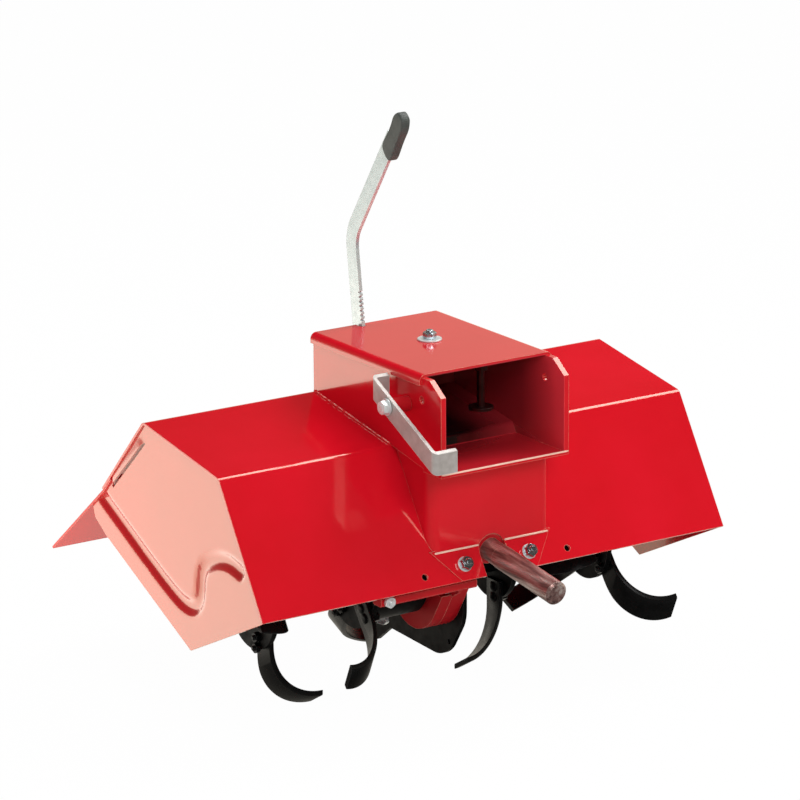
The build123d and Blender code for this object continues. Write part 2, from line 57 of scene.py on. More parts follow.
# ---------------------------------------------------------------- sizes that the CAD has, in mm
hood_width, hood_t = 575.0, 2.5
top_len, top_slope = 149.0, 9.6
front_len, front_lean = 153.5, 31.4
rear_len, rear_slope = 125.6, 46.8
deflector_len, deflector_slope, deflector_t, deflector_lap = 142.0, 39.3, 2.5, 22.0
end_inset, end_t = 2.0, 2.5
bead_deep = 4.0
bead_start = (3.1, -10.3)
bead_line = ((98.0, -146.0), (62.0, -154.0), (43.0, -141.0), (42.0, -105.0), (14.0, -88.0),
             (-12.0, -84.0), (-33.0, -89.0))
slit_line, slit_w = ((17.0, 15.6), (108.5, 9.9)), 3.0
keel_back, keel_down = 64.0, 200.0
rear_corners = ((24.1, -21.3), (18.1, -37.3), (-2.9, -51.3))
rotor_back, rotor_drop = 61.0, 167.0
inner_flange_x, flange_t, helix_step, end_clear = 88.0, 6.0, 36.0, 7.9
tine_t = 5.0
tine_root, tine_leg, tine_bend_r, tine_bend, tine_twist = 19.0, 43.7, 55.0, 88.0, 30.0
tine_root_edges, tine_tip_edges = (-0.5, 24.5), (14.0, 38.0)
box_half, box_wall_t = 73.0, 6.0
box_outer = box_half + box_wall_t
mouth_front, floor_up = -90.0, -10.0
lid_up, lid_bolt_at = 87.5, (4.0, 53.0)
pedestal_front, foot_t = -63.5, 1.5
flange_bolts = ((-39.0, -116.7), (40.7, -117.3))
lever_x = -21.5
latch_off = 25.0

# the scene's own: the blades' bolts, from the rotor's axis and ahead of it, where the box's inside
# ends, and the grip's corners, which stay within the CAD's
tine_bolts, tine_bolt_lead = (27.0, 38.5), 12.0
box_back = 116.0
grip_line = ((81.0, 272.0), (97.0, 289.0), (79.0, 311.5), (71.0, 330.0), (57.5, 329.5), (55.0, 315.0),
             (68.0, 296.0))

spin = next(Vector(j["pos_m"]) for j in record["behaviour"]["joints"] if j["name"] == "rotor_spin") * 1000
bend_y, bend_z = spin.y - rotor_back, spin.z + rotor_drop


def step(start, length, angle):
    """The point reached from start along a slope of the given angle (positive is up)."""
    return (start[0] + length * cos(radians(angle)), start[1] + length * sin(radians(angle)))


def mitre(points, distance):
    """The open line through the points, moved to its right by a distance, corners mitred."""
    normals = []
    for (y0, z0), (y1, z1) in zip(points, points[1:]):
        run = hypot(y1 - y0, z1 - z0)
        normals.append(((z1 - z0) / run, (y0 - y1) / run))
    moved = []
    for i, (y, z) in enumerate(points):
        a = normals[max(i - 1, 0)]
        b = normals[min(i, len(normals) - 1)]
        k = distance / (1 + a[0] * b[0] + a[1] * b[1])
        moved.append((y + (a[0] + b[0]) * k, z + (a[1] + b[1]) * k))
    return moved


BEND = (0.0, 0.0)
TOP_REAR = step(BEND, top_len, top_slope)
FRONT_LOW = step(BEND, front_len, 270 - front_lean)
SLOPE_END = step(TOP_REAR, rear_len, -rear_slope)
FLAP_END = step(SLOPE_END, deflector_len, -deflector_slope)


def spot(x, back, up):
    """A datum point in millimetres as a place in metres."""
    return Vector((x, bend_y + back, bend_z + up)) / 1000


def smooth_step(t):
    """0 to 1 with level ends."""
    t = min(max(t, 0.0), 1.0)
    return t * t * (3 - 2 * t)


def rounded(points, rounds=3, closed=False):
    """The line with its corners cut again and again, which rounds them."""
    for _ in range(rounds):
        pairs = list(zip(points, points[1:] + points[:1] if closed else points[1:]))
        cut = [] if closed else [points[0]]
        for (a0, a1), (b0, b1) in pairs:
            cut.append((0.75 * a0 + 0.25 * b0, 0.75 * a1 + 0.25 * b1))
            cut.append((0.25 * a0 + 0.75 * b0, 0.25 * a1 + 0.75 * b1))
        if not closed:
            cut.append(points[-1])
        points = cut
    return points


# ---------------------------------------------------------------- node helpers
def new_material(name):
    """A new material with its node tree and shader."""
    mat = bpy.data.materials.new(name)
    mat.use_nodes = True
    tree = mat.node_tree
    return mat, tree, tree.nodes["Principled BSDF"]


def add(tree, kind, **values):
    """A new node, with inputs or settings given by name."""
    node = tree.nodes.new(kind)
    for key, value in values.items():
        if key in node.inputs:
            node.inputs[key].default_value = value
        else:
            setattr(node, key, value)
    return node


def map_range(tree, value, low, high, to_low=0.0, to_high=1.0):
    """The value carried from one span to another, held at the ends."""
    limits = {"From Min": low, "From Max": high, "To Min": to_low, "To Max": to_high}
    node = add(tree, "ShaderNodeMapRange", **limits)
    tree.links.new(value, node.inputs["Value"])
    return node.outputs["Result"]


def reckon(tree, operation, first, second, clamp=False):
    """A sum on a value and another value or a number."""
    node = add(tree, "ShaderNodeMath", operation=operation, use_clamp=clamp)
    tree.links.new(first, node.inputs[0])
    if isinstance(second, float):
        node.inputs[1].default_value = second
    else:
        tree.links.new(second, node.inputs[1])
    return node.outputs[0]


def coordinates(tree, kind="Object"):
    """The x, y and z of the shaded place."""
    split = add(tree, "ShaderNodeSeparateXYZ")
    tree.links.new(add(tree, "ShaderNodeTexCoord").outputs[kind], split.inputs["Vector"])
    return split.outputs


def noise(tree, scale, detail=4.0, rough=0.55, stretch=None, turn=(0, 0, 0)):
    """Soft noise fixed to the object."""
    coords = add(tree, "ShaderNodeTexCoord").outputs["Object"]
    if stretch:
        mapping = add(tree, "ShaderNodeMapping", Scale=stretch, Rotation=turn)
        tree.links.new(coords, mapping.inputs["Vector"])
        coords = mapping.outputs["Vector"]
    tex = add(tree, "ShaderNodeTexNoise", Scale=scale, Detail=detail, Roughness=rough)
    tree.links.new(coords, tex.inputs["Vector"])
    return tex.outputs["Fac"]


def ramp(tree, source, stops):
    """Colours spread along a value."""
    node = add(tree, "ShaderNodeValToRGB")
    elements = node.color_ramp.elements
    elements[0].position, elements[0].color = stops[0][0], (*stops[0][1], 1)
    elements[1].position, elements[1].color = stops[-1][0], (*stops[-1][1], 1)
    for place, colour in stops[1:-1]:
        element = elements.new(place)
        element.color = (*colour, 1)
    tree.links.new(source, node.inputs["Fac"])
    return node.outputs["Color"]


def grey(v):
    return (v, v, v)


def edge_mask(tree, radius, gain=4.0):
    """1 on the sharp edges, from how far a rounded normal leans from the flat one."""
    still_flat = 0.98
    bevel = add(tree, "ShaderNodeBevel", Radius=radius)
    bevel.samples = 6
    flat = add(tree, "ShaderNodeNewGeometry")
    dot = add(tree, "ShaderNodeVectorMath", operation="DOT_PRODUCT")
    tree.links.new(bevel.outputs["Normal"], dot.inputs[0])
    tree.links.new(flat.outputs["True Normal"], dot.inputs[1])
    return map_range(tree, dot.outputs["Value"], still_flat, still_flat - 1.0 / gain)


def mix_colour(tree, factor, base, top, blend="MIX"):
    """Two colours mixed; each part is a socket, a number or a colour."""
    node = add(tree, "ShaderNodeMix", data_type="RGBA", blend_type=blend)
    for value, socket in ((factor, node.inputs[0]), (base, node.inputs[6]), (top, node.inputs[7])):
        if isinstance(value, float):
            socket.default_value = value
        elif isinstance(value, tuple):
            socket.default_value = (*value, 1)
        else:
            tree.links.new(value, socket)
    return node.outputs[2]


def mix_shader(tree, factor, base, top):
    """Two shaders mixed by a value."""
    node = add(tree, "ShaderNodeMixShader")
    for value, socket in zip((factor, base, top), node.inputs):
        tree.links.new(value, socket)
    return node.outputs["Shader"]


def bump(tree, shader, height, strength, distance, edge=0.0):
    """A fine relief, on edges rounded by the given radius."""
    node = add(tree, "ShaderNodeBump", Strength=strength, Distance=distance)
    tree.links.new(height, node.inputs["Height"])
    if edge:
        bevel = add(tree, "ShaderNodeBevel", Radius=edge)
        bevel.samples = 4
        tree.links.new(bevel.outputs["Normal"], node.inputs["Normal"])
    tree.links.new(node.outputs["Normal"], shader.inputs["Normal"])


# ---------------------------------------------------------------- materials
GLOSS_TINT = (1.0, 0.86, 0.62, 1.0)
# a pale pink for the sharp edges: a painted highlight
PAINTED_EDGE_HIGHLIGHT = (0.82, 0.34, 0.25)
# near black deep in the coupling box: painted shade
INSIDE_PAINTED_SHADE = (0.006, 0.003, 0.004)
# a paler, greyer red for the coupling box's inside: a painted sheen
INSIDE_PAINTED_SHEEN = (0.84, 0.040, 0.058)


def between(tree, value, low, high, soft):
    """1 where the value lies between two limits, fading over a soft width outside them."""
    above = map_range(tree, value, low - soft, low)
    below = map_range(tree, value, high + soft, high)
    return reckon(tree, "MULTIPLY", above, below)


def inside_box(tree):
    """Masks of the coupling box's inside, and of the painted shade that deepens into it."""
    x, y, z = coordinates(tree)
    half = (box_half + 0.3) / 1000
    low, high = (spot(0, 0, up).z for up in (floor_up + 1.0, lid_up - 2.7))
    front, rear = (spot(0, back, 0).y for back in (mouth_front - 2.0, box_back))
    shade_starts, shade_full = (spot(0, mouth_front + back, 0).y for back in (14.0, 76.0))
    across = between(tree, x, -half, half, 0.0004)
    upward = between(tree, z, low, high, 0.002)
    endways = between(tree, y, front, rear, 0.001)
    inside = reckon(tree, "MULTIPLY", reckon(tree, "MULTIPLY", across, upward), endways)
    depth = map_range(tree, y, shade_starts, shade_full)
    leftward = map_range(tree, x, 0.085, -0.02, 0.50, 1.25)        # painted shade, deeper towards the left
    return inside, reckon(tree, "MULTIPLY", depth, leftward, clamp=True)


def make_paint(name, dark, light, ior, coat, rough, box=False):
    """Glossy red enamel: cloudy colour, faint orange peel, a pale painted highlight on the cut edges."""
    mat, tree, shader = new_material(name)
    colour = ramp(tree, noise(tree, 9.0, 3.0), [(0.3, dark), (0.7, light)])
    # the painted edge highlight, broken up by noise, laid over the enamel's colour
    highlight_breakup = ramp(tree, noise(tree, 45.0, 3.0), [(0.30, grey(0.35)), (0.60, grey(1.0))])
    edge_highlight = reckon(tree, "MULTIPLY", edge_mask(tree, 0.0011, 5.0), highlight_breakup)
    colour = mix_colour(tree, edge_highlight, colour, PAINTED_EDGE_HIGHLIGHT)
    if box:
        inside, inside_shade = inside_box(tree)
        # the box's inside in a paler, greyer red: painted sheen
        colour = mix_colour(tree, inside, colour, INSIDE_PAINTED_SHEEN)
        # near black deeper in and towards the left: painted shade
        colour = mix_colour(tree, reckon(tree, "MULTIPLY", inside, inside_shade), colour, INSIDE_PAINTED_SHADE)
    tree.links.new(colour, shader.inputs["Base Color"])
    grain = ramp(tree, noise(tree, 40.0), [(0.3, grey(rough * 0.85)), (0.75, grey(rough * 1.2))])
    tree.links.new(grain, shader.inputs["Roughness"])
    shader.inputs["IOR"].default_value = ior
    shader.inputs["Specular Tint"].default_value = GLOSS_TINT
    shader.inputs["Coat Weight"].default_value = coat
    shader.inputs["Coat Roughness"].default_value = 0.04
    shader.inputs["Coat IOR"].default_value = 1.5
    bump(tree, shader, noise(tree, 260.0, 2.0), 0.04, 0.0004, 0.0009)
    return mat


def make_black(name, level, rough):
    """Black dipped paint on forged steel, with a painted highlight along the edges."""
    mat, tree, shader = new_material(name)
    colour = ramp(tree, noise(tree, 60.0), [(0.3, grey(0.003)), (0.7, grey(0.006))])
    # grey on the edges: a painted highlight
    edge_highlight = mix_colour(tree, edge_mask(tree, 0.0009), colour, grey(0.05))
    tree.links.new(edge_highlight, shader.inputs["Base Color"])
    grain = ramp(tree, noise(tree, 90.0), [(0.3, grey(rough * 0.8)), (0.7, grey(rough * 1.2))])
    tree.links.new(grain, shader.inputs["Roughness"])
    shader.inputs["Specular IOR Level"].default_value = level
    bump(tree, shader, noise(tree, 400.0, 3.0), 0.10, 0.0005, 0.0008)
    return mat


def make_zinc(name, dark, light, edge, rough, metal=1.0):
    """Zinc plating with soft blotches and a painted highlight on the corners."""
    mat, tree, shader = new_material(name)
    shader.inputs["Metallic"].default_value = metal
    colour = ramp(tree, noise(tree, 120.0), [(0.3, dark), (0.7, light)])
    # lighter colour on the corners: a painted highlight
    cornered = mix_colour(tree, edge_mask(tree, 0.0009), colour, edge)
    tree.links.new(cornered, shader.inputs["Base Color"])
    grain = ramp(tree, noise(tree, 150.0), [(0.3, grey(rough * 0.8)), (0.7, grey(rough * 1.2))])
    tree.links.new(grain, shader.inputs["Roughness"])
    bump(tree, shader, noise(tree, 500.0, 3.0), 0.08, 0.0004, 0.0006)
    return mat


def make_steel():
    """Bare turned steel, browned by handling, with light and dark streaks along the shaft, partly turning
    marks and partly painted highlight, and a painted highlight on the edge.
    """
    mat, tree, shader = new_material("bare_shaft_steel")
    shader.inputs["Metallic"].default_value = 0.6
    shaft_slope = (radians(-8.2), 0, 0)
    streak = noise(tree, 60.0, 6.0, 0.65, (2.2, 0.16, 2.2), shaft_slope)
    # the pale streaks are partly painted highlight
    colour = ramp(tree, streak, [(0.34, (0.07, 0.040, 0.036)), (0.48, (0.26, 0.14, 0.125)),
                                 (0.58, (0.44, 0.32, 0.29)), (0.72, (0.70, 0.61, 0.56))])
    # a pale edge colour: a painted highlight
    tree.links.new(mix_colour(tree, edge_mask(tree, 0.0012), colour, (0.80, 0.68, 0.58)),
                   shader.inputs["Base Color"])
    grain = ramp(tree, streak, [(0.3, grey(0.42)), (0.7, grey(0.22))])
    tree.links.new(grain, shader.inputs["Roughness"])
    bump(tree, shader, noise(tree, 300.0, 5.0), 0.15, 0.0005, 0.0008)
    return mat


def make_grip():
    """Dark grey-green moulded plastic with a fine spark-eroded grain."""
    mat, tree, shader = new_material("dark_grip_plastic")
    colour = ramp(tree, noise(tree, 80.0), [(0.3, (0.055, 0.062, 0.056)), (0.7, (0.080, 0.090, 0.082))])
    tree.links.new(colour, shader.inputs["Base Color"])
    grain = ramp(tree, noise(tree, 60.0), [(0.3, grey(0.48)), (0.7, grey(0.60))])
    tree.links.new(grain, shader.inputs["Roughness"])
    bump(tree, shader, noise(tree, 900.0, 2.0), 0.25, 0.0003)
    return mat


RED_DARK, RED_LIGHT = (0.66, 0.0045, 0.014), (0.72, 0.0055, 0.019)
looks = {
    "red_paint": make_paint("red_enamel", RED_DARK, RED_LIGHT, ior=1.7, coat=0.5, rough=0.12, box=True),
    # the end plates' copy of the red enamel, darker than the hood's: painted shade
    "end_paint": make_paint("red_enamel_ends", (0.54, 0.0045, 0.012), (0.60, 0.0055, 0.016),
                            ior=2.0, coat=0.5, rough=0.16),
    "under_paint": make_paint("red_enamel_underside", RED_DARK, RED_LIGHT,
                              ior=1.42, coat=0.0, rough=0.20),
    # a darker, duller copy of the red enamel for the gear case and the parts under the hood: painted
    # shade
    "case_paint": make_paint("red_enamel_painted_shade", (0.42, 0.004, 0.010), (0.52, 0.005, 0.014),
                             ior=1.30, coat=0.0, rough=0.50),
    # pale paint for the strips along edges: a painted highlight
    "pale_line": make_paint("painted_highlight_strips", (0.90, 0.58, 0.46), (0.95, 0.70, 0.58),
                            ior=1.45, coat=0.0, rough=0.35),
    "black_paint": make_black("black_dip_paint", level=0.09, rough=0.30),
    "dull_black": make_black("black_chassis_paint", level=0.06, rough=0.50),
    # a dark, reddish copy of the zinc for the parts inside the coupling box: painted shade
    "dark_zinc": make_zinc("zinc_in_painted_shade", (0.050, 0.018, 0.018), (0.090, 0.030, 0.030),
                           (0.10, 0.08, 0.07), rough=0.40),
    "bar_zinc": make_zinc("zinc_bar", (0.54, 0.62, 0.63), (0.66, 0.74, 0.75),
                          (0.80, 0.82, 0.81), rough=0.28, metal=0.5),
    "zinc": make_zinc("zinc_plate", (0.72, 0.76, 0.76), (0.88, 0.92, 0.92),
                      (0.98, 0.98, 0.97), rough=0.34, metal=0.45),
    "nut_zinc": make_zinc("zinc_nut", (0.34, 0.42, 0.47), (0.50, 0.58, 0.63),
                          (0.95, 0.97, 0.98), rough=0.25),
    "strap_zinc": make_zinc("dull_galvanising", (0.44, 0.40, 0.37), (0.56, 0.52, 0.49),
                            (0.92, 0.91, 0.89), rough=0.42, metal=0.3),
    "steel": make_steel(),
    "grip": make_grip(),
}
slot_of = {item["node"]: item["material_slot"] for item in record["subparts"]}
own_look = {"end_plate_left": "end_paint", "end_plate_right": "end_paint",
            # the gear case and its cover take the darker copy of the enamel: painted shade
            "rear_deflector": "under_paint", "gear_case": "case_paint", "case_cover": "case_paint",
            "latch_strap": "strap_zinc", "axle": "dull_black", "skid_plate": "dull_black",
            # the stud inside the box takes the dark zinc: painted shade
            "coupling_stud": "dark_zinc", "depth_bar": "bar_zinc"}
for name, obj in nodes.items():
    for slot in obj.material_slots:
        slot.material = looks[own_look.get(name, slot_of[name])]


# ---------------------------------------------------------------- mesh helpers
def piece(name, verts, faces, body, slot, look=None, smooth=35.0, stand_in=None):
    """A mesh object from places in metres, riding on a body."""
    mesh = bpy.data.meshes.new(name)
    mesh.from_pydata([tuple(v) for v in verts], [], faces)
    work = bmesh.new()
    work.from_mesh(mesh)
    bmesh.ops.remove_doubles(work, verts=work.verts, dist=1e-6)
    bmesh.ops.dissolve_degenerate(work, edges=work.edges, dist=1e-7)
    bmesh.ops.recalc_face_normals(work, faces=work.faces)
    for edge in work.edges:
        edge.smooth = len(edge.link_faces) == 2 and edge.calc_face_angle(0.0) < radians(smooth)
    for face in work.faces:
        face.smooth = True
    work.to_mesh(mesh)
    work.free()
    obj = bpy.data.objects.new(name, mesh)
    scene.collection.objects.link(obj)
    mesh.materials.append(looks[look or slot])
    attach(obj, body)
    if stand_in:
        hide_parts(stand_in)
    return obj


def loft(rings, caps=True):
    """Quads between closed rings of equal count, with the ends closed."""
    count = len(rings[0])
    verts = [p for ring in rings for p in ring]
    faces = []
    for i in range(len(rings) - 1):
        for k in range(count):
            n = (k + 1) % count
            faces.append((i * count + k, i * count + n, (i + 1) * count + n, (i + 1) * count + k))
    if caps:
        faces.append(tuple(range(count))[::-1])
        faces.append(tuple((len(rings) - 1) * count + k for k in range(count)))
    return verts, faces


def merge(*shapes):
    """Several shapes as one."""
    verts, faces = [], []
    for some_verts, some_faces in shapes:
        base = len(verts)
        verts += some_verts
        faces += [tuple(base + i for i in face) for face in some_faces]
    return verts, faces


def frame_at(origin, axis):
    """A turn and place whose local z is the axis."""
    return Matrix.Translation(origin) @ Vector(axis).to_track_quat("Z", "Y").to_matrix().to_4x4()


def circle(place, radius, height=0.0, sides=40):
    """A ring of places about the place's local z; radius and height are in mm."""
    turns = [2 * pi * k / sides for k in range(sides)]
    return [place @ (Vector((radius * cos(turn), radius * sin(turn), height)) / 1000) for turn in turns]


def turned(profile, place, sides=40):
    """A solid of revolution: (radius, height) points in mm, about the place's local z."""
    return loft([circle(place, radius, height, sides) for radius, height in profile])


def hexagon(across, low, high, place, chamfer=0.9, sides=48):
    """A hexagon nut or head whose corners are turned down at both ends."""
    rings = []
    levels = ((low, 0.0), (low + chamfer, chamfer * 1.8), (high - chamfer, chamfer * 1.8), (high, 0.0))
    for height, allow in levels:
        ring = []
        for k in range(sides):
            turn = 2 * pi * k / sides
            flat = across / 2 / cos((turn + pi / 6) % (pi / 3) - pi / 6)
            radius = min(flat, across / 2 * 0.985 + allow)
            ring.append(place @ (Vector((radius * cos(turn), radius * sin(turn), height)) / 1000))
        rings.append(ring)
    return loft(rings)


def washer(outer, inner, thick, place, edge=0.35):
    """A flat washer with softened edges."""
    profile = [(inner, 0), (outer - edge, 0), (outer, edge), (outer, thick - edge), (outer - edge, thick),
               (inner, thick)]
    return turned(profile, place)


def thread(radius, low, high, place, pitch=1.25, deep=0.5):
    """A bolt's end with its thread as rings, and a chamfered tip."""
    profile = [(radius - deep, low)]
    height = low
    while height + pitch < high - 0.6:
        profile.append((radius, height + pitch * 0.5))
        profile.append((radius - deep, height + pitch))
        height += pitch
    profile.append((radius - 0.1, high - 0.9))
    profile.append((radius - 1.1, high))
    return turned(profile, place, 28)


def nut_stack(name, place, stand_in, washer_r, washer_t, nut_h, tip):
    """A nut on its washer and thread, in place of a plain bolt."""
    shape = merge(hexagon(12.6, washer_t, washer_t + nut_h, place),
                  thread(4.0, washer_t + nut_h * 0.5, washer_t + nut_h + tip, place))
    piece(name, *shape, "hood", "zinc", "nut_zinc", stand_in=stand_in)
    piece(name + "_washer", *washer(washer_r, 3.9, washer_t, place), "hood", "zinc")


# ---------------------------------------------------------------- end plates with a pressed channel
def crossing(a, b, c, d):
    """Where the line a-b meets the line c-d."""
    (ax, ay), (bx, by), (cx, cy), (dx, dy) = a, b, c, d
    spread = (bx - ax) * (dy - cy) - (by - ay) * (dx - cx)
    t = ((cx - ax) * (dy - cy) - (cy - ay) * (dx - cx)) / spread
    return (ax + t * (bx - ax), ay + t * (by - ay))


def beside_slope(along, inward):
    """A point in the plate's plane, along the rear slope from its top and inward from it."""
    return step(step(TOP_REAR, along, -rear_slope), inward, 270 - rear_slope)


def from_slope_end(back, up):
    """A point placed from the rear slope's lower end."""
    return (SLOPE_END[0] + back, SLOPE_END[1] + up)


def distance_to(point, line):
    """How far the point is from the open line."""
    best = 1e9
    for (y0, z0), (y1, z1) in zip(line, line[1:]):
        run_y, run_z = y1 - y0, z1 - z0
        t = ((point[0] - y0) * run_y + (point[1] - z0) * run_z) / (run_y ** 2 + run_z ** 2)
        t = min(max(t, 0.0), 1.0)
        best = min(best, hypot(point[0] - y0 - t * run_y, point[1] - z0 - t * run_z))
    return best


channel_line = rounded([from_slope_end(*bead_start), *bead_line], 3)
SLIT_TOP, SLIT_LOW = (beside_slope(*p) for p in slit_line)
slit_run = hypot(SLIT_LOW[0] - SLIT_TOP[0], SLIT_LOW[1] - SLIT_TOP[1])
slit_dir = ((SLIT_LOW[0] - SLIT_TOP[0]) / slit_run, (SLIT_LOW[1] - SLIT_TOP[1]) / slit_run)
channel_floor, channel_edge = 2.6, 11.5    # half widths of the channel's floor and of its mouth
louvre_rise, louvre_wide, louvre_end = 1.9, 13.0, 9.0
grid_pitch, grid_y, grid_z = 3.0, range(-30, 90), range(-68, 12)


def beside_slit(along, beside):
    """The plate's point at a place along and beside the slit."""
    back = SLIT_TOP[0] + slit_dir[0] * along - slit_dir[1] * beside
    up = SLIT_TOP[1] + slit_dir[1] * along + slit_dir[0] * beside
    return back, up


def in_slit_frame(back, up):
    """(along, beside) the slit; beside grows towards the rear slope."""
    dy, dz = back - SLIT_TOP[0], up - SLIT_TOP[1]
    return dy * slit_dir[0] + dz * slit_dir[1], dy * -slit_dir[1] + dz * slit_dir[0]


def pressing(back, up):
    """How far the plate stands out there: the channel goes in, the louvre beside the slit out."""
    out = 0.0
    near = distance_to((back, up), channel_line)
    if near < channel_edge:
        out -= bead_deep * (1 - smooth_step((near - channel_floor) / (channel_edge - channel_floor)))
    along, beside = in_slit_frame(back, up)
    if 0 < along < slit_run and 0 < beside < louvre_wide:
        taper = smooth_step(along / louvre_end) * smooth_step((slit_run - along) / louvre_end)
        out += louvre_rise * taper * (1 - smooth_step(beside / louvre_wide))
    return out


def end_outline():
    """The plate's edge: inside the hood's sheet, under the deflector, round the rear and the keel."""
    inner = mitre([FRONT_LOW, BEND, TOP_REAR, SLOPE_END], hood_t)
    lap_start = step(SLOPE_END, deflector_lap, 180 - rear_slope)
    lap = mitre([lap_start, SLOPE_END, FLAP_END], hood_t)
    low = mitre(lap, deflector_t)
    rear = [from_slope_end(*p) for p in rear_corners]
    meet = crossing(low[1], low[2], rear[0], rear[1])
    keel = (keel_back - 1.0, -keel_down + 1.0)
    return inner[:3] + [lap[0], low[0], low[1], meet] + rear[1:] + [keel]


def plate_grid():
    """The plate's outline cut into a fine grid, without the slit."""
    work = bmesh.new()
    work.faces.new([work.verts.new((0, y, z)) for y, z in end_outline()])

    def cut(co, normal):
        geom = work.verts[:] + work.edges[:] + work.faces[:]
        bmesh.ops.bisect_plane(work, geom=geom, plane_co=co, plane_no=normal, dist=1e-4)

    for k in grid_y:
        cut((0, k * grid_pitch, 0), (0, 1, 0))
    for k in grid_z:
        cut((0, 0, k * grid_pitch), (0, 0, 1))
    for beside in (-slit_w / 2, slit_w / 2):
        cut((0, *beside_slit(0.0, beside)), (0, -slit_dir[1], slit_dir[0]))
    for along in (0.0, slit_run):
        cut((0, *beside_slit(along, 0.0)), (0, *slit_dir))
    gone = []
    for face in work.faces:
        centre = face.calc_center_median()
        along, beside = in_slit_frame(centre.y, centre.z)
        if 0 < along < slit_run and abs(beside) < slit_w / 2:
            gone.append(face)
    bmesh.ops.delete(work, geom=gone, context="FACES")
    work.verts.index_update()
    return work


def end_plate(node, side):
    """The grid pressed at the channel and the louvre, and given its thickness."""
    work = plate_grid()
    x_out = side * (hood_width / 2 - end_inset)
    outer, inner = [], []
    for vert in work.verts:
        out = side * pressing(vert.co.y, vert.co.z)
        outer.append(spot(x_out + out, vert.co.y, vert.co.z))
        inner.append(spot(x_out + out - side * end_t, vert.co.y, vert.co.z))
    count = len(outer)
    faces = []
    for face in work.faces:
        loop = [v.index for v in face.verts]
        faces.append(tuple(loop))
        faces.append(tuple(count + i for i in loop[::-1]))
    for edge in work.edges:
        if len(edge.link_faces) == 1:
            a, b = (v.index for v in edge.verts)
            faces.append((a, b, count + b, count + a))
    work.free()
    piece(node + "_pressed", outer + inner, faces, "hood", "red_paint", "end_paint", 50.0, node)


for node, side in (("end_plate_left", -1), ("end_plate_right", 1)):
    end_plate(node, side)


# ---------------------------------------------------------------- rotor blades
tine_twist_tan, tine_twist_cos = tan(radians(tine_twist)), cos(radians(tine_twist))
tine_reach = tine_bend_r * (1 - cos(radians(tine_bend)))
tine_root_radii = (tine_root, tine_root + 8.0)      # of the first two rings, which end square
bend_steps = 34
outer_flange_x = (hood_width / 2 - end_inset - end_t - bead_deep - end_clear - tine_reach - tine_t
                  - flange_t / 2)
flanges = ((-outer_flange_x, 0.0), (-inner_flange_x, helix_step),
           (inner_flange_x, 0.0), (outer_flange_x, helix_step))        # (x, turn of blade a)
ROTOR = Vector((0, rotor_back, -rotor_drop))
BOLT_DOME = [(6.0, 0.0), (5.6, 0.7), (4.2, 1.5), (1.5, 1.9)]


def blade_edge(x):
    """The blade's two edges, ahead of its leg, where it has bent out by x."""
    t = min(max(x / tine_reach, 0.0), 1.0)
    return tuple(a + (b - a) * t for a, b in zip(tine_root_edges, tine_tip_edges))


def blade_rings():
    """Rings of (x, radius, lead) points from the root to the tip."""
    stations = [(tine_root, 0.0), (tine_root + 12, 0.0), (tine_leg - 6, 0.0)]
    stations += [(tine_leg, radians(tine_bend) * k / bend_steps) for k in range(bend_steps + 1)]
    rings = []
    half, soft = tine_t / 2, 0.7
    corners = ((-half, 0, soft), (-half, 1, -soft), (-half + soft, 1, 0), (half - soft, 1, 0),
               (half, 1, -soft), (half, 0, soft), (half - soft, 0, 0), (-half + soft, 0, 0))
    for leg, turn in stations:
        middle = (tine_bend_r * (1 - cos(turn)), leg + tine_bend_r * sin(turn))
        normal = (cos(turn), -sin(turn))
        ring = []
        for across, edge, inset in corners:
            x = middle[0] + normal[0] * across
            v = middle[1] + normal[1] * across
            ring.append((x, v, blade_edge(x)[edge] + inset))
        rings.append(ring)
    return rings


RINGS = blade_rings()


def blade_point(x, v, z, root):
    """From the bend's own plane, which leans back, to (x, radius, lead)."""
    radius = root if root is not None else v / tine_twist_cos - z * tine_twist_tan
    return x, radius, z


def tine(name, x_root, side, phase):
    """A blade bent to one side, on a flange's face, with its two bolts."""
    turn = radians(phase)
    down = Vector((0, -sin(turn), -cos(turn)))
    lead = Vector((0, -cos(turn), sin(turn)))
    rings = []
    for i, ring in enumerate(RINGS):
        points = []
        for x, v, z in ring:
            x, radius, z = blade_point(x, v, z, tine_root_radii[i] if i < 2 else None)
            p = ROTOR + down * radius + lead * z
            points.append(spot(x_root + side * x, p.y, p.z))
        rings.append(points)
    verts, faces = loft(rings)
    piece(f"blade_{name}", verts, faces, "rotor", "black_paint", smooth=40.0, stand_in=f"tine_{name}")
    heads = []
    for radius in tine_bolts:
        p = ROTOR + down * radius + lead * tine_bolt_lead
        face = spot(x_root + side * tine_t / 2, p.y, p.z)
        heads.append(turned(BOLT_DOME, frame_at(face, (side, 0, 0)), 28))
        back = spot(x_root - side * (tine_t / 2 + flange_t), p.y, p.z)
        place = frame_at(back, (-side, 0, 0))
        heads.append(hexagon(10.0, 0.0, 5.0, place, 0.7, 36))
        heads.append(thread(3.0, 2.0, 7.5, place, 1.0, 0.4))
    piece(f"blade_bolts_{name}", *merge(*heads), "rotor", "black_paint")


for i, (flange_x, phase) in enumerate(flanges, 1):
    for k, letter in enumerate("abcd"):
        low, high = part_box(f"tine_{i}{letter}")
        side = 1 if (low.x + high.x) * 500 > flange_x else -1
        tine(f"{i}{letter}", flange_x + side * (flange_t + tine_t) / 2, side, phase + 90.0 * k)


# ---------------------------------------------------------------- fasteners
lean = radians(front_lean)
FRONT_OUT = Vector((0, -cos(lean), sin(lean)))


def on_front(x, up, out=0.0):
    """A place on the front plate's outer face, or out from it."""
    return spot(x, up * tan(lean), up) + FRONT_OUT * out / 1000


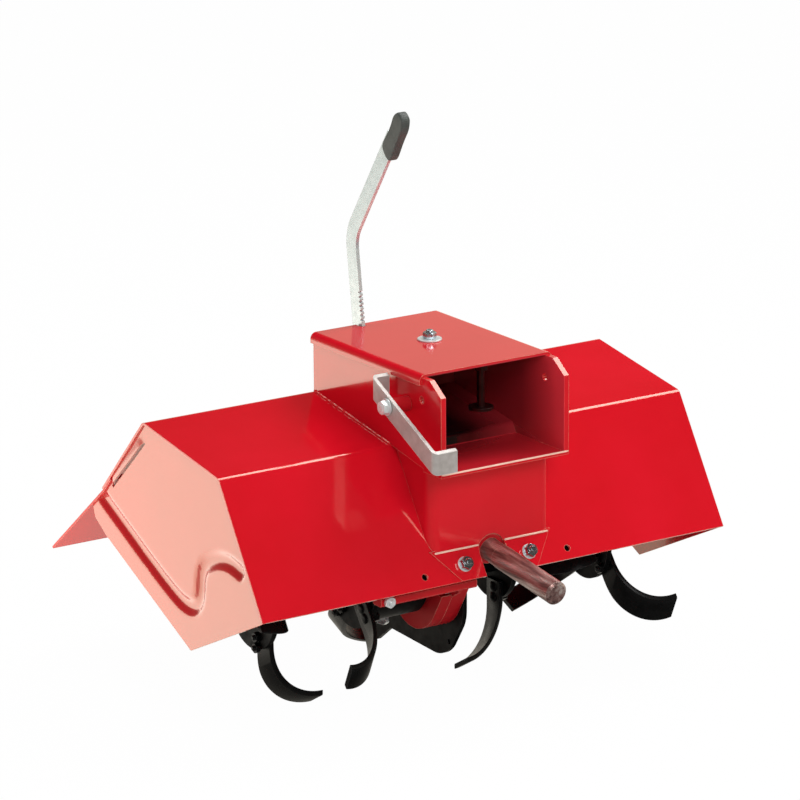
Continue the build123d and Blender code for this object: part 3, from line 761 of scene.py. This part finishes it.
for node, bolt in zip(("flange_bolt_left", "flange_bolt_right"), flange_bolts):
    nut_stack(node + "_nut", frame_at(on_front(*bolt, foot_t), FRONT_OUT), node,
              washer_r=8.0, washer_t=1.5, nut_h=6.5, tip=3.0)
nut_stack("lid_bolt_nut", frame_at(spot(*lid_bolt_at, lid_up), (0, 0, 1)), "lid_bolt",
          washer_r=12.8, washer_t=1.8, nut_h=6.7, tip=2.5)


# ---------------------------------------------------------------- grip
def pillow(outline, x_mid, half, soft):
    """A closed outline given thickness, with rounded edges all round."""
    count = len(outline)
    twice_area = sum(outline[i - 1][0] * outline[i][1] - outline[i][0] * outline[i - 1][1]
                     for i in range(count))
    way = 1 if twice_area > 0 else -1
    normals = []
    for i in range(count):
        (y0, z0), (y1, z1) = outline[i - 1], outline[(i + 1) % count]
        run = hypot(y1 - y0, z1 - z0)
        normals.append((way * (z1 - z0) / run, way * (y0 - y1) / run))
    rings = []
    steps = 6
    for side in (-1, 1):
        for k in range(steps + 1) if side < 0 else range(steps, -1, -1):
            turn = pi / 2 * k / steps
            inset = soft * (1 - sin(turn))
            x = x_mid + side * (half - soft + soft * cos(turn))
            rings.append([spot(x, y - n[0] * inset, z - n[1] * inset)
                          for (y, z), n in zip(outline, normals)])
    return loft(rings)


grip_points = []
for (y0, z0), (y1, z1) in zip(grip_line, grip_line[1:] + grip_line[:1]):
    corner = min(5.0 / hypot(y1 - y0, z1 - z0), 0.45)
    for t in (corner, 1 - corner):
        grip_points.append((y0 + (y1 - y0) * t, z0 + (z1 - z0) * t))
grip_shape = pillow(rounded(grip_points, 3, True), lever_x, half=5.6, soft=2.2)
piece("grip_moulding", *grip_shape, "depth_bar", "grip", stand_in="depth_bar_grip")


# ---------------------------------------------------------------- latch pivot's nuts, washer and sleeve
pivot_low, pivot_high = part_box("latch_pivot")
pivot_mid = (pivot_low + pivot_high) / 2


def on_pivot(x, way):
    """A frame on the pivot's axis, looking left (-1) or right (1)."""
    return frame_at(Vector((x / 1000, pivot_mid.y, pivot_mid.z)), (way, 0, 0))


strap_face = on_pivot(-box_outer - latch_off - 0.5, -1)
wall_face = on_pivot(-box_outer - 0.2, -1)
pivot_nut = merge(washer(9.0, 4.9, 1.5, strap_face), hexagon(13.0, 1.5, 7.6, strap_face),
                  thread(4.9, 5.0, 8.4, strap_face))
pivot_sleeve = merge(turned([(5.0, -6.2), (5.0, 24.9)], wall_face, 32),
                     turned([(7.6, 0.0), (8.0, 0.4), (8.0, 20.0), (7.6, 20.4)], wall_face, 40))
piece("pivot_nut", *pivot_nut, "hood", "zinc", stand_in="latch_pivot")
# the sleeve in the darker copy of the enamel: painted shade
piece("pivot_sleeve", *pivot_sleeve, "hood", "zinc", "case_paint")
# the nut inside the box in the dark zinc: painted shade
piece("pivot_inner_nut", *hexagon(13.0, 0.0, 5.0, on_pivot(-box_half, 1)), "hood", "zinc", "dark_zinc")


# ---------------------------------------------------------------- pale strips that paint the highlights along edges
def highlight_strip(name, x_from, x_to, back, up, radius):
    """A thin pale line across the machine, a painted highlight, with its ends tucked in."""
    start, end = spot(x_from, back, up), spot(x_to, back, up)
    rings = []
    ahead = end - start
    for t in (0.0, 0.02, 0.5, 0.98, 1.0):
        place = frame_at(start + ahead * t, ahead)
        rings.append(circle(place, radius * (0.5 if t in (0.0, 1.0) else 1.0), sides=8))
    piece(name, *loft(rings), "hood", "red_paint", "pale_line", 70.0)


foot_strip_back = pedestal_front - 0.5
foot_strip_up = foot_strip_back / tan(radians(front_lean)) + 3.4
highlight_strip("highlight_strip_foot_left", -70.0, -15.5, foot_strip_back, foot_strip_up, 1.15)
highlight_strip("highlight_strip_foot_right", 16.5, 71.0, foot_strip_back, foot_strip_up, 1.15)
highlight_strip("highlight_strip_mouth_floor", -78.5, 78.5, mouth_front - 0.4, floor_up - 0.4, 1.0)


# ---------------------------------------------------------------- weld beads at the box's feet
def weld(name, points, radius):
    """A wavy bead of weld along a line of places."""
    rings = []
    total = len(points)
    for i, p in enumerate(points):
        ahead = points[min(i + 1, total - 1)] - points[max(i - 1, 0)]
        place = frame_at(p, ahead)
        swell = radius * (1 + 0.28 * mnoise.noise(p * 180.0)) * (0.55 if i in (0, total - 1) else 1.0)
        rings.append(circle(place, swell, sides=10))
    piece(name, *loft(rings), "hood", "red_paint", smooth=60.0)


weld_backs = [3.0 + 1.6 * k for k in range(90)]
for side, word in ((-1, "left"), (1, "right")):
    run = [spot(side * (box_outer + 0.4), back, back * tan(radians(top_slope)) + 0.4)
           for back in weld_backs]
    weld(f"weld_box_{word}", run, 1.7)


# ---------------------------------------------------------------- cross-beam behind the front plate
beam_front, beam_rear, beam_low, beam_high, bevel = -67.5, -52.5, -145.5, -136.0, 1.5
beam_section = ((beam_front + bevel, beam_low), (beam_rear - bevel, beam_low),
                (beam_rear, beam_low + bevel), (beam_rear, beam_high - bevel),
                (beam_rear - bevel, beam_high), (beam_front + bevel, beam_high),
                (beam_front, beam_high - bevel), (beam_front, beam_low + bevel))
beam = [[spot(x, back, up) for back, up in beam_section] for x in (-138.0, -20.0)]
# the beam in the darker copy of the enamel: painted shade
piece("cross_beam", *loft(beam), "hood", "red_paint", "case_paint")
beam_face = frame_at(spot(-129.0, beam_front, -140.6), (0, -1, 0))
beam_nut = merge(hexagon(11.0, 0.0, 5.0, beam_face), thread(3.0, 3.0, 7.5, beam_face, 1.0, 0.4))
piece("cross_beam_nut", *beam_nut, "hood", "zinc")


# ---------------------------------------------------------------- stage, light and camera
def make_stage():
    """A white floor that glows for the camera and in the gloss, brighter towards the back."""
    size = 6.0
    corners = [(-size, -size, 0), (size, -size, 0), (size, size, 0), (-size, size, 0)]
    mesh = bpy.data.meshes.new("floor")
    mesh.from_pydata(corners, [], [(0, 1, 2, 3)])
    floor = bpy.data.objects.new("floor", mesh)
    scene.collection.objects.link(floor)
    mat, tree, shader = new_material("floor_white")
    shader.inputs["Base Color"].default_value = (0.9, 0.9, 0.9, 1)
    shader.inputs["Roughness"].default_value = 0.9
    shader.inputs["Specular IOR Level"].default_value = 0.0
    path = add(tree, "ShaderNodeLightPath")
    seen, mirrored = path.outputs["Is Camera Ray"], path.outputs["Is Glossy Ray"]
    glow = add(tree, "ShaderNodeEmission")
    rearward = map_range(tree, coordinates(tree)["Y"], -0.12, 0.08, 0.10, 1.0)
    tree.links.new(reckon(tree, "MAXIMUM", rearward, seen), glow.inputs["Strength"])
    tint = mix_colour(tree, seen, (1.0, 0.94, 0.82), (1.0, 1.0, 1.0))
    tree.links.new(tint, glow.inputs["Color"])
    share = reckon(tree, "MULTIPLY", reckon(tree, "MAXIMUM", seen, mirrored), 0.985)
    surface = mix_shader(tree, share, shader.outputs["BSDF"], glow.outputs["Emission"])
    tree.links.new(surface, tree.nodes["Material Output"].inputs["Surface"])
    mesh.materials.append(mat)


def make_world():
    """White to the camera, bright low down and dim overhead for what the gloss shows."""
    world = bpy.data.worlds.new("studio")
    scene.world = world
    world.use_nodes = True
    tree = world.node_tree
    tree.nodes.clear()
    place = coordinates(tree, "Generated")
    sky = ramp(tree, place["Z"], [(0.0, grey(0.95)), (0.10, grey(0.75)), (0.24, grey(0.46)),
                                  (0.34, grey(0.36)), (0.46, grey(0.05)), (1.0, grey(0.04))])
    aside = ramp(tree, place["X"], [(0.0, grey(0.22)), (0.25, grey(1.0))])
    dimmed = mix_colour(tree, 1.0, sky, aside, "MULTIPLY")
    warmed = mix_colour(tree, 1.0, dimmed, (1.0, 0.92, 0.75), "MULTIPLY")
    gloss = add(tree, "ShaderNodeBackground", Strength=1.0)
    tree.links.new(warmed, gloss.inputs["Color"])
    fill = add(tree, "ShaderNodeBackground", Color=(1, 1, 1, 1), Strength=0.42)
    white = add(tree, "ShaderNodeBackground", Color=(1, 1, 1, 1), Strength=1.0)
    path = add(tree, "ShaderNodeLightPath")
    around = mix_shader(tree, path.outputs["Is Glossy Ray"], fill.outputs[0], gloss.outputs[0])
    seen = mix_shader(tree, path.outputs["Is Camera Ray"], around, white.outputs[0])
    tree.links.new(seen, add(tree, "ShaderNodeOutputWorld").inputs["Surface"])


def area(name, place, target, size, power, shape="DISK", colour=(1.0, 1.0, 1.0)):
    """A lamp that shines from its place towards the target."""
    data = bpy.data.lights.new(name, "AREA")
    data.shape = shape
    data.size = size
    data.energy = power
    data.color = colour
    lamp = bpy.data.objects.new(name, data)
    lamp.location = place
    lamp.rotation_euler = (Vector(target) - Vector(place)).to_track_quat("-Z", "Y").to_euler()
    scene.collection.objects.link(lamp)


def make_camera():
    """A long lens from the front left, a little above."""
    azimuth, elevation, roll = radians(-33.609), radians(15.768), radians(-0.385)
    place = (-2.77644, -4.15357, 1.70404)
    back = Vector((sin(azimuth) * cos(elevation), -cos(azimuth) * cos(elevation), sin(elevation)))
    level = Vector((cos(azimuth), sin(azimuth), 0))
    over = back.cross(level)
    right = cos(roll) * level + sin(roll) * over
    up = -sin(roll) * level + cos(roll) * over
    data = bpy.data.cameras.new("camera")
    data.sensor_width = 36.0
    data.lens = 223.9335
    data.clip_end = 50.0
    camera = bpy.data.objects.new("camera", data)
    turn = Matrix((right, up, back)).transposed().to_4x4()
    camera.matrix_world = Matrix.Translation(place) @ turn
    scene.collection.objects.link(camera)
    scene.camera = camera


make_stage()
make_world()
middle = (0, 0, 0.25)
area("key", (-0.7, -2.5, 1.9), middle, size=1.2, power=33)
area("overhead", (1.15, 0.0, 1.95), middle, size=1.3, power=25)
area("top", (-0.3, 0.9, 2.2), middle, size=1.2, power=13)
area("floor_panel", (-1.0, 0.75, 0.004), (-1.0, 0.75, 1.0), size=1.4, power=9.6, shape="SQUARE",
     colour=(1.0, 0.96, 0.87))
make_camera()
